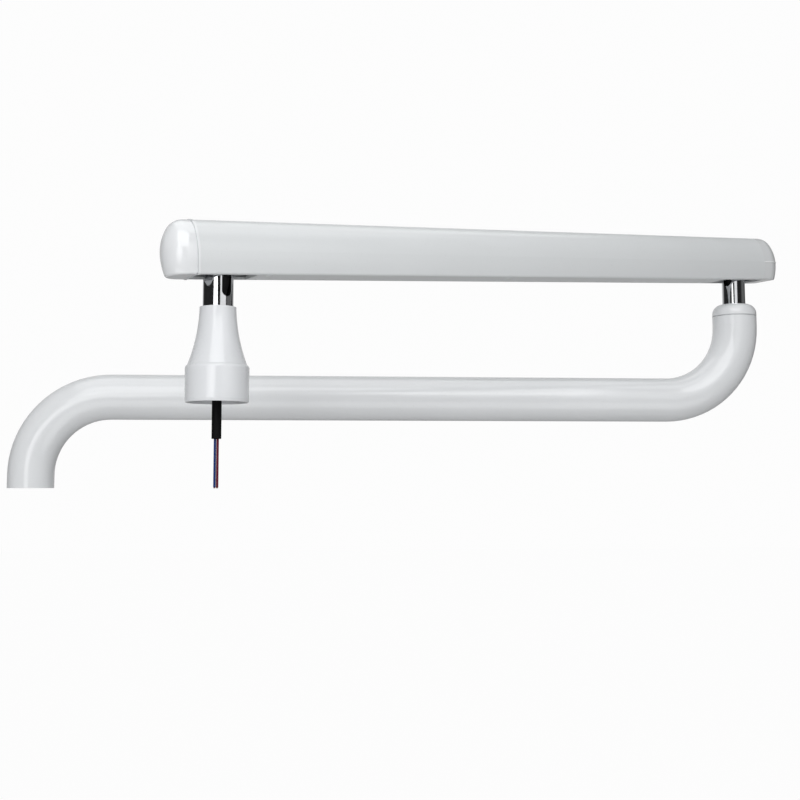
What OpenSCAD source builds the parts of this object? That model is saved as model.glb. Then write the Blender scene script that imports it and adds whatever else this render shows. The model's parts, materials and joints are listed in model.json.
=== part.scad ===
// Spring-balanced support arm of a dental operating light, without the lamp head.
// Origin: centre of the open lower end of the bent tube, which plugs into the base socket.
// +X runs along the lower arm to the elbow and +Z is up. All sizes are in millimetres.

/* [Lower arm] */
// Outside diameter of the bent tube
tube_d = 40; // [38:1:44]
// Wall thickness of the bent tube
tube_wall = 3; // [2.5:0.5:3.5]
// Distance from the base axis to the elbow axis
lower_reach = 640; // [500:10:800]
// Height of the level run's centre line above the lower end
lower_rise = 80; // [76:1:100]
// Centre-line radius of both bends
bend_r = 68; // [60:1:72]
// Straight length of the riser above its bend
riser_straight = 10; // [8:1:20]

/* [Elbow] */
// Height of the domed collar on the riser
collar_h = 11.8; // [11.6:0.1:14]
// Diameter of the chrome elbow shaft
elbow_shaft_d = 20.8; // [20:0.2:21]
// Height of the tilt pivot above the collar
pivot_above_collar = 42.8; // [40:0.1:48]

/* [Upper arm] */
// Distance between the two pivots of the arm
upper_reach = 520; // [400:10:640]
// Width of the arm case
arm_w = 34; // [34:0.5:35]
// Height of the arm case below the pivot line
arm_below = 20.5; // [20:0.5:21]
// Wall thickness of the arm case
arm_wall = 2; // [1.8:0.1:2.2]
// Angle that the arm is swung out from above the lower arm
rest_swing = 25; // [20:1:90]
// Angle that the arm droops from level
rest_droop = 4.4; // [0:0.1:20]

/* [Lamp end] */
// Diameter of the chrome lamp shaft
lamp_shaft_d = 22; // [21.6:0.1:22.4]
// Outside diameter of the swivel bush that the lamp's socket fits
sleeve_d = 26; // [25.6:0.2:26.4]
// Distance from the lamp pivot down to the bell's rim
rim_drop = 42.7; // [40:0.1:50]
// Diameter of the bell's skirt
bell_d = 46; // [44:0.5:50]
// Height of the bell cover
bell_h = 68.6; // [66:0.1:74]

/* [Cable] */
// Diameter of the black cable
cable_d = 7; // [5:0.1:7]
// Length of cable below the bell
cable_out = 26; // [10:1:60]
// Diameter of each bare-ended wire
wire_d = 1.8; // [1.4:0.1:2.2]
// Length of each bare-ended wire
wire_out = 34.5; // [10:0.5:60]

/* [Hidden] */
$fn = 96;

// running and seating clearances on the radius
running = 0.05;
seat_gap = 0.1;
eps = 0.01;

// lower arm
tube_r = tube_d / 2;
tube_bore_r = tube_r - tube_wall;
spigot_len = lower_rise - bend_r;
riser_z = lower_rise + bend_r;
riser_top = riser_z + riser_straight;

// elbow, heights from the origin
collar_top = riser_top + collar_h;
collar_round = 9;
// groove between the riser and the collar
collar_gap = 0.9;
collar_gap_depth = 1;
pivot_z = collar_top + pivot_above_collar;
elbow_r = elbow_shaft_d / 2;
elbow_bore_r = 7;
elbow_neck_r = 8.4;
elbow_neck_bore_r = 6;
neck_top = riser_top - 8;
neck_bottom = riser_top - 24;
washer_t = 1.5;
flange_t = 1.5;
housing_floor = neck_top - washer_t - flange_t;
housing_bottom = housing_floor - 8;
upper_bush_r = 12;
upper_bush_h = 9;
lower_bush_r = 9.8;
washer_r = elbow_r + 0.4;
wave_t = 1.5;
clip_t = 1.2;
stop_pin_r = 1.8;
stop_pin_end = 13.2;
stop_groove = 2.9;
housing_r = 13;
wave_r = 12.4;
elbow_stop_z = riser_top - 3;
// travel of the elbow swivel from the rest position
swivel_back = 8;
swivel_forward = 318;

// shared lengths of both arm ends, measured from each pivot
pivot_pin_r = 4;
pivot_bush_r = 5.4;
link_rise = 9.5;
link_pin_r = 2.5;
link_pin_end = 8.5;
spring_pin_end = 9.3;
pin_head_t = 0.8;
spring_drop = 9;
shaft_top_drop = 17;
disc_t = 2.5;
plug_len = 6;
plug_cut = 0.6;
plate_t = 10;
slot_w = 8;
elbow_slot_drop = 26.3;
lamp_slot_drop = 35.7;
elbow_slot_turn = 9;
lamp_slot_turn = 102.5;

// arm case section and length, along the arm from the elbow pivot
// the section is made of arcs: a crown, two upper sides, two lower sides and two small corners
arm_r = arm_w / 2;
belly_z = -4;
crown_z = 6.7;
crown_r = 14;
upper_side_r = (pow(arm_r, 2) + pow(crown_z - belly_z, 2) - pow(crown_r, 2)) / (2 * (arm_r - crown_r));
lower_side_r = 50;
corner_r = 2;
least_corner_r = 0.8;
elbow_seam = -24;
lamp_seam = upper_reach + 21;
elbow_nose = -32;
lamp_nose = upper_reach + 27;
nose_round = 11;
nose_dip = 0.1;
opening_w = 23.6;
opening_in = 24.6;
opening_out = 22.5;
strip_w = 12;
strip_lip = 7;
lip_t = 1.2;
lip_len = 6;
lip_wall = 1.5;
lip_low = -6;
cap_notch = 1.5;
line_r = 0.5;
pin_end = arm_wall + 1.2;
rim_w = 1.8;
rim_out = 0.4;
rim_groove_w = 1;
rim_groove = 0.8;
cheek_in = 12.6;
cheek_low = -12;
cheek_high = 5.5;
cheek_end = 10;
fork_near = 26;
fork_far = 44;
fork_floor_t = 5;
screw_side = 9;
seat_s = 262;
seat_t = 12;

// spring and push rod on the far side of the arm
spring_y = -6.5;
spring_z = -8.5;
spring_mean_r = 6.6;
spring_wire_r = 1.3;
spring_turns = 24;
spring_steps = 12;
rod_y = -7;
rod_r = 3;
nut_s = 54;
nut_t = 6;
nut_r = 6.3;
spring_washer_t = 1.6;
spring_washer_r = 7.4;
spring_start = nut_s + nut_t + spring_washer_t;
// the rod's eye hangs below the pivot, so its stations lie this much further along the drooping arm
rod_lead = 0.7;
link_y = -5.3;
link_t = 3;
link_h = 7;

// lamp end
lamp_r = lamp_shaft_d / 2;
lamp_bore_r = 7.5;
sleeve_r = sleeve_d / 2;
elbow_pivot = [lower_reach, 0, pivot_z];
lamp_pivot = elbow_pivot + upper_reach * [
    -cos(rest_swing) * cos(rest_droop), -sin(rest_swing) * cos(rest_droop), -sin(rest_droop)
];
rim_z = lamp_pivot.z - rim_drop;
bell_bottom = rim_z - bell_h;
bell_r = bell_d / 2;
bell_wall = 2.2;
bell_neck_r = 13.1;
bell_flare_r = 125;
flare_above_rim = 3;
shoulder_r = 3;
shoulder_z = bell_bottom + 27.1;
skirt_bevel_h = 2.2;
skirt_bevel = 0.4;
bush_top = rim_z - 26;
bush_bottom = bush_top - 25;
swivel_washer_t = 1.3;
swivel_washer_r = 12.6;
lamp_stop_pin_end = 12.1;
lamp_stop_groove = 1.35;
lamp_shaft_end = bush_bottom - 7;
lamp_stop_z = bush_bottom + 11;
lamp_swivel_range = 150;

// cable
cable_r = cable_d / 2;
wire_r = wire_d / 2;
sheath_top = bush_bottom + 1;
sheath_end = bell_bottom - cable_out;
wire_end = sheath_end - wire_out;
wire_side = wire_r + 0.05;
cable_sides = 10;
wire_sides = 8;
arm_lead_y = 8.9;
arm_lead_z = -9;
tube_lead_drop = 12;

// routes near the pivots: along the arm, to the near side, up
elbow_route = [
    [3, 0.4, -38], [3.1, 0.5, -28], [4.3, 0.7, -22.5], [6.3, 1, -17.5], [9.5, 3.5, -13.5], [14, 7, -11]
];
lamp_route = [
    [0, 0, -70], [-0.7, 3.4, -50], [-0.8, 3.6, -38], [-1.1, 5, -31], [-1.6, 7, -25],
    [-1.8, 7.8, -19], [-4, 8.6, -13.5], [-10, 8.9, -9.5], [-17, 8.9, -8.5]
];

/* ---- functions and shared shapes ---- */

function unit(v) = v / norm(v);
function arc_xz(c, r, a0, a1, n) =
    [for (i = [0 : n]) let (a = a0 + (a1 - a0) * i / n) [c.x + r * cos(a), 0, c.y + r * sin(a)]];
function heading(p, i) = unit(p[min(i + 1, len(p) - 1)] - p[max(i - 1, 0)]);
function ring(c, t, ref, r, sides) =
    let (n = unit(cross(t, ref)), b = cross(t, n))
    [for (k = [0 : sides - 1]) c + r * (n * cos(360 * k / sides) + b * sin(360 * k / sides))];
function smooth(p, steps) = [
    for (i = [0 : len(p) - 2], k = [0 : steps - 1])
        let (a = p[max(i - 1, 0)], b = p[i], c = p[i + 1], d = p[min(i + 2, len(p) - 1)], t = k / steps)
        0.5 * (2 * b + (c - a) * t + (2 * a - 5 * b + 4 * c - d) * t * t
            + (3 * b - a - 3 * c + d) * t * t * t),
    p[len(p) - 1]
];

// closed tube along a path; ref is a direction that the path never follows
module sweep(path, r, sides, ref) {
    rows = len(path);
    skin = [for (i = [0 : rows - 1]) each ring(path[i], heading(path, i), ref, r, sides)];
    walls = [
        for (i = [0 : rows - 2], k = [0 : sides - 1])
            let (a = i * sides + k, b = i * sides + (k + 1) % sides)
            each [[a, a + sides, b + sides], [a, b + sides, b]]
    ];
    ends = [
        for (k = [1 : sides - 2])
            each [[0, k, k + 1], [(rows - 1) * sides, (rows - 1) * sides + k + 1, (rows - 1) * sides + k]]
    ];
    polyhedron(points = skin, faces = concat(walls, ends));
}

module pipe(r_out, r_in, z0, z1) {
    translate([0, 0, z0])
        difference() {
            cylinder(r = r_out, h = z1 - z0);
            translate([0, 0, -1]) cylinder(r = r_in, h = z1 - z0 + 2);
        }
}

// cylinder across the arm, from side coordinate y0 to y1
module cross_pin(r, y0, y1) {
    translate([0, y0, 0]) rotate([-90, 0, 0]) cylinder(r = r, h = y1 - y0);
}

// frames: X along the arm, Y to its near side; the arm frame droops and the head frames stay upright
module arm_frame() elbow_frame() rotate([0, rest_droop, 0]) children();
module elbow_frame() translate(elbow_pivot) rotate([0, 0, 180 + rest_swing]) children();
module lamp_frame() translate(lamp_pivot) rotate([0, 0, 180 + rest_swing]) children();
module elbow_axis() translate([elbow_pivot.x, elbow_pivot.y, 0]) children();
module lamp_axis() translate([lamp_pivot.x, lamp_pivot.y, 0]) children();
module link_frame() elbow_frame() translate([0, 0, link_rise]) rotate([0, rest_droop, 0]) children();
module rod_frame() elbow_frame() translate([0, 0, -spring_drop]) rotate([0, rest_droop, 0]) children();

// part of the lens between two arcs of radius r that bulge to half at belly_z, from height z0 to z1
module belly(half, r, z0, z1) {
    intersection() {
        translate([half - r, belly_z]) circle(r = r);
        translate([r - half, belly_z]) circle(r = r);
        translate([-half - 1, z0]) square([2 * half + 2, z1 - z0]);
    }
}

// arm case section: round crown, bulged sides, flat underside with small corners
module arm_section(inset = 0) {
    half = arm_r - inset;
    low = -arm_below + inset;
    join_z = crown_z + (crown_r - inset) * (crown_z - belly_z) / (upper_side_r - crown_r);
    small_r = max(corner_r - inset, least_corner_r);
    reach = lower_side_r - inset - small_r;
    corner_z = low + small_r;
    corner_x = arm_r - lower_side_r + sqrt(pow(reach, 2) - pow(belly_z - corner_z, 2));
    flank = (lower_side_r - inset) / reach;
    touch_x = arm_r - lower_side_r + flank * (corner_x - arm_r + lower_side_r);
    touch_z = belly_z + flank * (corner_z - belly_z);
    translate([0, crown_z]) circle(r = crown_r - inset);
    belly(half, upper_side_r - inset, belly_z, join_z);
    belly(half, lower_side_r - inset, touch_z, belly_z);
    for (side = [-1, 1]) translate([side * corner_x, corner_z]) circle(r = small_r);
    polygon([
        [-touch_x, touch_z], [-corner_x, corner_z], [-corner_x, low],
        [corner_x, low], [corner_x, corner_z], [touch_x, touch_z]
    ]);
}

module arm_run(s0, s1, inset = 0) {
    translate([s0, 0, 0]) rotate([90, 0, 90]) linear_extrude(height = s1 - s0) arm_section(inset);
}

// half-round nose: the section turned about the upright line at s, towards +X (way 1) or -X (way -1)
module arm_nose(s, way, inset = 0) {
    translate([s, 0, 0])
        rotate([0, 0, -90 * way])
            rotate_extrude(angle = 180)
                intersection() {
                    arm_section(inset);
                    translate([0, -2 * arm_below]) square([2 * arm_r, 4 * arm_below]);
                }
}

// space that the elbow nose is kept to, rounded at its lower edge; its upper part stands clear of the nose
module nose_envelope(inset = 0) {
    tip = elbow_nose - arm_r;
    r = nose_round - inset;
    centre = [tip + nose_round, -arm_below + nose_round - nose_dip];
    rotate([90, 0, 0])
        linear_extrude(height = 3 * arm_w, center = true) {
            translate([tip - arm_r, centre.y]) square([2 * arm_w, 2 * arm_w]);
            translate([centre.x, -2 * arm_below]) square([2 * arm_w, centre.y + 2 * arm_below + 1]);
            translate(centre) circle(r = r);
        }
}

// radial slot in an upright shaft, open upwards, with a round lower end
module cable_slot(turn, z_low, z_high, r_in, r_out) {
    rotate([0, 0, turn]) {
        translate([r_in, -slot_w / 2, z_low + slot_w / 2])
            cube([r_out - r_in, slot_w, z_high - z_low]);
        translate([r_in, 0, z_low + slot_w / 2])
            rotate([0, 90, 0]) cylinder(r = slot_w / 2, h = r_out - r_in);
    }
}

// split ring that holds a shaft, open towards +X
module circlip(r_in, r_out, t) {
    difference() {
        cylinder(r = r_out, h = t);
        translate([0, 0, -1]) cylinder(r = r_in, h = t + 2);
        translate([0, -r_in * 0.45, -1]) cube([2 * r_out, r_in * 0.9, t + 2]);
    }
}

/* ---- lower arm ---- */

module tube_run(r, over) {
    translate([0, 0, -over]) cylinder(r = r, h = spigot_len + over);
    translate([bend_r, 0, spigot_len])
        rotate([90, 0, 0]) rotate_extrude(angle = 90, start = 90) translate([bend_r, 0]) circle(r = r);
    translate([bend_r, 0, lower_rise])
        rotate([0, 90, 0]) cylinder(r = r, h = lower_reach - 2 * bend_r);
    translate([lower_reach - bend_r, 0, riser_z])
        rotate([90, 0, 0]) rotate_extrude(angle = 90, start = 270) translate([bend_r, 0]) circle(r = r);
    translate([lower_reach, 0, riser_z]) cylinder(r = r, h = riser_straight + over);
}

module lower_tube() {
    color("whitesmoke")
        difference() {
            tube_run(tube_r, 0);
            tube_run(tube_bore_r, 1);
        }
}

module collar_outline() {
    difference() {
        union() {
            square([tube_r - collar_round, collar_top]);
            square([tube_r, collar_top - collar_round]);
            translate([tube_r - collar_round, collar_top - collar_round]) circle(r = collar_round);
        }
        square([2 * tube_r, riser_top + collar_gap]);
    }
}

module elbow_collar() {
    color("gainsboro")
        elbow_axis()
            difference() {
                union() {
                    rotate_extrude() collar_outline();
                    translate([0, 0, riser_top]) cylinder(r = tube_r - collar_gap_depth, h = 2 * collar_gap);
                    translate([0, 0, housing_floor])
                        cylinder(r = tube_bore_r - seat_gap, h = riser_top - housing_floor + 1);
                    translate([0, 0, housing_bottom]) cylinder(r = housing_r, h = collar_h);
                }
                translate([0, 0, collar_top - upper_bush_h]) cylinder(r = upper_bush_r, h = collar_h);
                translate([0, 0, housing_floor]) cylinder(r = washer_r + 0.1, h = collar_top);
                translate([0, 0, housing_bottom - 1]) cylinder(r = lower_bush_r, h = collar_h);
                elbow_stop_groove();
            }
}

// annular groove that the stop pin runs in, left solid where the swivel stops
module elbow_stop_groove() {
    slack = asin(stop_pin_r / washer_r) + 1;
    translate([0, 0, elbow_stop_z - stop_pin_r - 0.4])
        rotate([0, 0, 180 - swivel_back - slack])
            rotate_extrude(angle = swivel_back + swivel_forward + 2 * slack)
                translate([washer_r - 1, 0]) square([stop_groove + 1, 2 * stop_pin_r + 0.8]);
}

module elbow_upper_bush() {
    color("dimgray")
        elbow_axis()
            pipe(upper_bush_r - 0.02, elbow_r + running, collar_top - upper_bush_h, collar_top - 0.2);
}

module elbow_lower_bush() {
    color("goldenrod")
        elbow_axis()
            difference() {
                union() {
                    translate([0, 0, housing_bottom])
                        cylinder(r = lower_bush_r - 0.02, h = housing_floor - housing_bottom + flange_t);
                    translate([0, 0, housing_floor]) cylinder(r = washer_r, h = flange_t);
                }
                cylinder(r = elbow_neck_r + running, h = collar_top);
            }
}

module elbow_thrust_washer() {
    color("silver") elbow_axis() pipe(washer_r, elbow_neck_r + 0.2, neck_top - washer_t, neck_top);
}

/* ---- swivelling elbow head ---- */

module elbow_shaft() {
    color("silver")
        elbow_axis()
            difference() {
                union() {
                    translate([0, 0, neck_top])
                        cylinder(r = elbow_r, h = pivot_z - shaft_top_drop - neck_top);
                    translate([0, 0, neck_bottom]) cylinder(r = elbow_neck_r, h = neck_top - neck_bottom);
                }
                translate([0, 0, neck_top + 3]) cylinder(r = elbow_bore_r, h = pivot_z);
                translate([0, 0, neck_bottom - 1]) cylinder(r = elbow_neck_bore_r, h = pivot_z);
                pipe(elbow_neck_r + 1, elbow_neck_r - 0.6, clip_low(), clip_low() + clip_t);
                cable_slot(
                    180 + rest_swing + elbow_slot_turn,
                    pivot_z - elbow_slot_drop, pivot_z, 2, 2 * elbow_r
                );
                translate([0, 0, elbow_stop_z]) rotate([0, -90, 0]) cylinder(r = stop_pin_r, h = 2 * elbow_r);
            }
}

function clip_low() = housing_bottom - wave_t - clip_t;

module elbow_stop_pin() {
    color("dimgray")
        elbow_axis()
            translate([0, 0, elbow_stop_z])
                rotate([0, -90, 0])
                    translate([0, 0, elbow_bore_r + 0.2])
                        cylinder(r = stop_pin_r, h = stop_pin_end - elbow_bore_r - 0.2);
}

module elbow_wave_washer() {
    color("silver")
        elbow_axis() pipe(wave_r, elbow_neck_r + 0.2, housing_bottom - wave_t, housing_bottom);
}

module elbow_circlip() {
    color("dimgray")
        elbow_axis() translate([0, 0, clip_low()]) circlip(elbow_neck_r - 0.6, elbow_neck_r + 2, clip_t);
}

// side outline of a knuckle: pivot eye, link lug above and a foot below
module knuckle_outline(foot0, foot1) {
    circle(r = 8);
    translate([0, link_rise]) circle(r = 5.2);
    translate([-5.2, 0]) square([10.4, link_rise]);
    translate([foot0, -shaft_top_drop + disc_t / 2]) square([foot1 - foot0, shaft_top_drop - disc_t / 2]);
}

// plate, seating disc and plug; the disc and plug are cut back on the side of the cable slot
module knuckle(shaft_r, bore_r, turn, foot0, foot1) {
    difference() {
        union() {
            rotate([90, 0, 0])
                linear_extrude(height = plate_t, center = true) knuckle_outline(foot0, foot1);
            rotate([0, 0, turn]) translate([0, 0, -shaft_top_drop]) {
                cylinder(r = shaft_r, h = disc_t);
                translate([0, 0, -plug_len]) cylinder(r = bore_r - seat_gap, h = plug_len + disc_t / 2);
            }
        }
        rotate([0, 0, turn])
            translate([plug_cut, -shaft_r - 1, -shaft_top_drop - plug_len - 1])
                cube([2 * shaft_r, 2 * shaft_r + 2, plug_len + disc_t + 1]);
        cross_pin(pivot_bush_r, -plate_t, plate_t);
        translate([0, 0, link_rise]) cross_pin(link_pin_r, -plate_t, plate_t);
    }
}

module elbow_knuckle() {
    color("dimgray")
        elbow_frame()
            difference() {
                knuckle(elbow_r, elbow_bore_r, elbow_slot_turn, -8, 4);
                translate([0, 0, -spring_drop]) cross_pin(link_pin_r, -plate_t, plate_t);
            }
}

module pivot_bush() {
    difference() {
        cross_pin(pivot_bush_r - 0.01, -plate_t / 2, plate_t / 2);
        cross_pin(pivot_pin_r + running, -plate_t, plate_t);
    }
}

module elbow_pivot_bush() color("goldenrod") elbow_frame() pivot_bush();

// headed pin pushed in from the near side, with its end past the far face
module small_pin(reach) {
    cross_pin(link_pin_r - 0.02, -reach, plate_t / 2);
    cross_pin(link_pin_r + 1.2, plate_t / 2, plate_t / 2 + 1.2);
    cross_pin(link_pin_r + 1, -reach - pin_head_t, -reach);
}

module elbow_link_pin() color("silver") elbow_frame() translate([0, 0, link_rise]) small_pin(link_pin_end);

module spring_pin() color("silver") elbow_frame() translate([0, 0, -spring_drop]) small_pin(spring_pin_end);

/* ---- upper arm ---- */

function screw_places() =
    let (fork_middle = (fork_near + fork_far) / 2)
    [fork_middle, seat_s + seat_t / 2, upper_reach - fork_middle];

module screw_holes(shank_r, head_r, grow) {
    for (s = screw_places(), side = [-1, 1])
        translate([s, side * screw_side, -arm_below]) {
            translate([0, 0, -grow]) cylinder(r = shank_r, h = 6.5 + grow);
            translate([0, 0, -grow]) cylinder(r1 = head_r + grow, r2 = shank_r, h = 1.6 + grow);
        }
}

module arm_shell() {
    color("lightgray")
        arm_frame()
            difference() {
                arm_run(elbow_seam, lamp_seam);
                arm_run(elbow_seam - 1, lamp_seam + 1, arm_wall);
                translate([elbow_seam - 1, -opening_w / 2, -arm_below - 1])
                    cube([opening_out - elbow_seam + 1, opening_w, arm_wall + 2]);
                translate([upper_reach - opening_in, -opening_w / 2, -arm_below - 1])
                    cube([lamp_seam - upper_reach + opening_in + 1, opening_w, arm_wall + 2]);
                translate([0, -strip_w / 2, -arm_below - 1]) cube([upper_reach, strip_w, arm_wall + 2]);
                screw_holes(1.5, 2.8, 0.05);
            }
}

module bottom_cover() {
    s0 = opening_out;
    s1 = upper_reach - opening_in;
    color("lightgray")
        arm_frame() {
            translate([s0, -strip_w / 2 + 0.15, -arm_below]) cube([s1 - s0, strip_w - 0.3, arm_wall + eps]);
            translate([s0, -strip_lip, -arm_below + arm_wall]) cube([s1 - s0, 2 * strip_lip, lip_t]);
        }
}

// end cap: straight neck and half-round nose, hollow and open towards the arm, with a lip inside the
// case; its floor is notched where the upright shaft leans furthest
module end_cap(seam, nose, way) {
    neck0 = min(seam, nose);
    neck1 = max(seam, nose);
    lip0 = min(seam, seam - lip_len * way);
    notch0 = way > 0 ? seam - 1 : seam - cap_notch;
    difference() {
        union() {
            arm_run(neck0, neck1);
            if (way > 0) arm_nose(nose, way);
            else intersection() {
                arm_nose(nose, way);
                nose_envelope();
            }
            children();
        }
        arm_run(neck0 - (way > 0 ? 1 : 0), neck1 + (way > 0 ? 0 : 1), arm_wall);
        if (way > 0) arm_nose(nose, way, arm_wall);
        else intersection() {
            arm_nose(nose, way, arm_wall);
            nose_envelope(arm_wall);
        }
        translate([notch0, -opening_w / 2, -arm_below - 1]) cube([cap_notch + 1, opening_w, arm_wall + 2]);
    }
    // lip, joined to the neck's wall by a short band
    difference() {
        union() {
            arm_run(lip0, lip0 + lip_len, arm_wall + seat_gap);
            arm_run(min(seam, seam + lip_wall * way), max(seam, seam + lip_wall * way), arm_wall / 2);
        }
        arm_run(lip0 - 2, lip0 + lip_len + 3, arm_wall + lip_wall);
        translate([lip0 - 2, -arm_r, -2 * arm_below]) cube([lip_len + 5, 2 * arm_r, 2 * arm_below + lip_low]);
    }
}

// half-round moulding line round the elbow cap
module cap_line() {
    for (side = [-1, 1])
        translate([elbow_nose, side * arm_r, belly_z])
            rotate([0, 90, 0]) cylinder(r = line_r, h = elbow_seam - elbow_nose - 0.6, $fn = 24);
    translate([elbow_nose, 0, belly_z])
        rotate([0, 0, 90]) rotate_extrude(angle = 180) translate([arm_r, 0]) circle(r = line_r, $fn = 24);
}

module elbow_cap() color("gainsboro") arm_frame() end_cap(elbow_seam, elbow_nose, -1) cap_line();

// raised rim at the seam, with a fine groove behind it
module lamp_cap() {
    color("gainsboro")
        arm_frame()
            difference() {
                end_cap(lamp_seam, lamp_nose, 1) arm_run(lamp_seam, lamp_seam + rim_w, -rim_out);
                difference() {
                    arm_run(lamp_seam + rim_w, lamp_seam + rim_w + rim_groove_w, -1);
                    arm_run(lamp_seam, lamp_seam + 2 * rim_w, rim_groove);
                }
            }
}

// U-shaped fork bolted inside the case; its cheeks hold the pivot pin
module fork() {
    difference() {
        intersection() {
            arm_run(-cheek_end - 1, fork_far + 1, arm_wall + 0.03);
            union() {
                for (side = [-1, 1])
                    translate([-cheek_end, side > 0 ? cheek_in : -arm_r, cheek_low])
                        cube([cheek_end + fork_far, arm_r - cheek_in, cheek_high - cheek_low]);
                translate([fork_near, -arm_r, -arm_below])
                    cube([fork_far - fork_near, 2 * arm_r, arm_wall + fork_floor_t]);
                for (side = [-1, 1])
                    translate([fork_near, side > 0 ? cheek_in : -arm_r, -arm_below])
                        cube([fork_far - fork_near, arm_r - cheek_in, arm_below]);
            }
        }
        translate([fork_near - 1, -strip_lip - 0.2, -arm_below])
            cube([fork_far - fork_near + 2, 2 * strip_lip + 0.4, arm_wall + lip_t + 0.2]);
        cross_pin(pivot_pin_r + 0.02, -arm_r, arm_r);
        for (side = [-1, 1])
            translate([(fork_near + fork_far) / 2, side * screw_side, -arm_below]) cylinder(r = 1.5, h = 10);
    }
}

module elbow_fork() color("darkgray") arm_frame() fork();

module lamp_fork() color("darkgray") arm_frame() translate([upper_reach, 0, 0]) mirror([1, 0, 0]) fork();

module pivot_pin() cross_pin(pivot_pin_r, pin_end - arm_r, arm_r - pin_end);

module elbow_pivot_pin() color("silver") elbow_frame() pivot_pin();

module lamp_pivot_pin() color("silver") lamp_frame() pivot_pin();

module case_screws() {
    color("dimgray")
        arm_frame()
            difference() {
                screw_holes(1.45, 2.7, 0);
                for (s = screw_places(), side = [-1, 1])
                    translate([s, side * screw_side, -arm_below - 1]) cylinder(r = 1, h = 1.9, $fn = 6);
            }
}

module spring_seat() {
    color("darkgray")
        arm_frame()
            difference() {
                intersection() {
                    arm_run(seat_s, seat_s + seat_t, arm_wall + 0.03);
                    translate([seat_s, 0, -arm_below])
                        union() {
                            translate([0, -arm_r, 0]) cube([seat_t, arm_r + 4.6, arm_below + 2]);
                            cube([seat_t, arm_r, arm_wall + 4]);
                        }
                }
                translate([seat_s - 1, -strip_lip - 0.2, -arm_below])
                    cube([seat_t + 2, 2 * strip_lip + 0.4, arm_wall + lip_t + 0.2]);
                for (z = [-9.6, -7.2])
                    translate([seat_s - 1, rod_y, z])
                        rotate([0, 90, 0]) cylinder(r = rod_r + 0.5, h = seat_t + 2);
                translate([seat_s - 1, rod_y - rod_r - 0.5, -9.6]) cube([seat_t + 2, 2 * rod_r + 1, 2.4]);
                for (side = [-1, 1])
                    translate([seat_s + seat_t / 2, side * screw_side, -arm_below])
                        cylinder(r = 1.5, h = 7.5);
            }
}

// helical coil, closed by its first and last turns
module balance_spring() {
    length = seat_s - spring_start - 2 * spring_wire_r;
    count = spring_turns * spring_steps;
    path = [
        for (i = [0 : count])
            let (a = 360 * i / spring_steps, s = spring_start + spring_wire_r + length * i / count)
            [s, spring_y + spring_mean_r * cos(a), spring_z + spring_mean_r * sin(a)]
    ];
    color("slategray") arm_frame() sweep(path, spring_wire_r, 6, [1, 0, 0]);
}

// push rod: eye at the elbow, thread, and a tail that slides in the seat
module spring_rod() {
    color("silver")
        rod_frame()
            difference() {
                union() {
                    cross_pin(3.8, -8.9, -5.3);
                    translate([0, rod_y - 1.7, -3]) cube([16, 3.4, 6]);
                    translate([12, rod_y, 0]) rotate([0, 90, 0]) cylinder(r = rod_r, h = seat_s + seat_t - 2);
                }
                cross_pin(link_pin_r + running, -12, 0);
            }
}

module adjusting_nut() {
    color("silver")
        rod_frame()
            translate([nut_s - rod_lead, rod_y, 0])
                rotate([0, 90, 0])
                    difference() {
                        cylinder(r = nut_r, h = nut_t, $fn = 6);
                        translate([0, 0, -1]) cylinder(r = rod_r + 0.02, h = nut_t + 2);
                    }
}

module spring_washer() {
    color("silver")
        rod_frame()
            translate([nut_s - rod_lead + nut_t, rod_y, 0])
                rotate([0, 90, 0])
                    difference() {
                        cylinder(r = spring_washer_r, h = spring_washer_t - 0.1);
                        translate([0, 0, -1]) cylinder(r = rod_r + 0.1, h = nut_t + 2);
                    }
}

// parallel link that keeps the lamp shaft upright
module link_bar() {
    color("darkgray")
        link_frame()
            difference() {
                union() {
                    for (s = [0, upper_reach]) translate([s, 0, 0]) cross_pin(4.5, link_y - link_t, link_y);
                    translate([0, link_y - link_t, -link_h / 2]) cube([upper_reach, link_t, link_h]);
                }
                cross_pin(link_pin_r + running, -12, 0);
                translate([upper_reach, 0, 0]) cross_pin(link_pin_r + seat_gap, -12, 0);
            }
}

/* ---- lamp end ---- */

module lamp_knuckle() {
    color("dimgray")
        lamp_frame()
            difference() {
                knuckle(lamp_r, lamp_bore_r, lamp_slot_turn, -8, 8);
                translate([-10, 3.4, -shaft_top_drop + 1]) cube([20, plate_t, 8]);
            }
}

module lamp_pivot_bush() color("goldenrod") lamp_frame() pivot_bush();

module lamp_link_pin() color("silver") lamp_frame() translate([0, 0, link_rise]) small_pin(link_pin_end);

module lamp_shaft() {
    groove = bush_bottom - swivel_washer_t - clip_t;
    color("silver")
        lamp_axis()
            difference() {
                translate([0, 0, lamp_shaft_end])
                    cylinder(r = lamp_r, h = lamp_pivot.z - shaft_top_drop - lamp_shaft_end);
                translate([0, 0, lamp_shaft_end - 1]) cylinder(r = lamp_bore_r, h = lamp_pivot.z);
                pipe(lamp_r + 1, lamp_r - 0.7, groove, groove + clip_t);
                cable_slot(
                    180 + rest_swing + lamp_slot_turn,
                    lamp_pivot.z - lamp_slot_drop, lamp_pivot.z, 2, 2 * lamp_r
                );
                translate([0, 0, lamp_stop_z]) rotate([0, 90, 0]) cylinder(r = stop_pin_r, h = 2 * lamp_r);
            }
}

module lamp_stop_pin() {
    color("dimgray")
        lamp_axis()
            translate([0, 0, lamp_stop_z])
                rotate([0, 90, 0])
                    translate([0, 0, lamp_bore_r + 0.2]) 
                        cylinder(r = stop_pin_r, h = lamp_stop_pin_end - lamp_bore_r - 0.2);
}

module swivel_washer() {
    color("silver")
        lamp_axis()
            pipe(swivel_washer_r, lamp_r + 0.15, bush_bottom - swivel_washer_t, bush_bottom);
}

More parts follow.
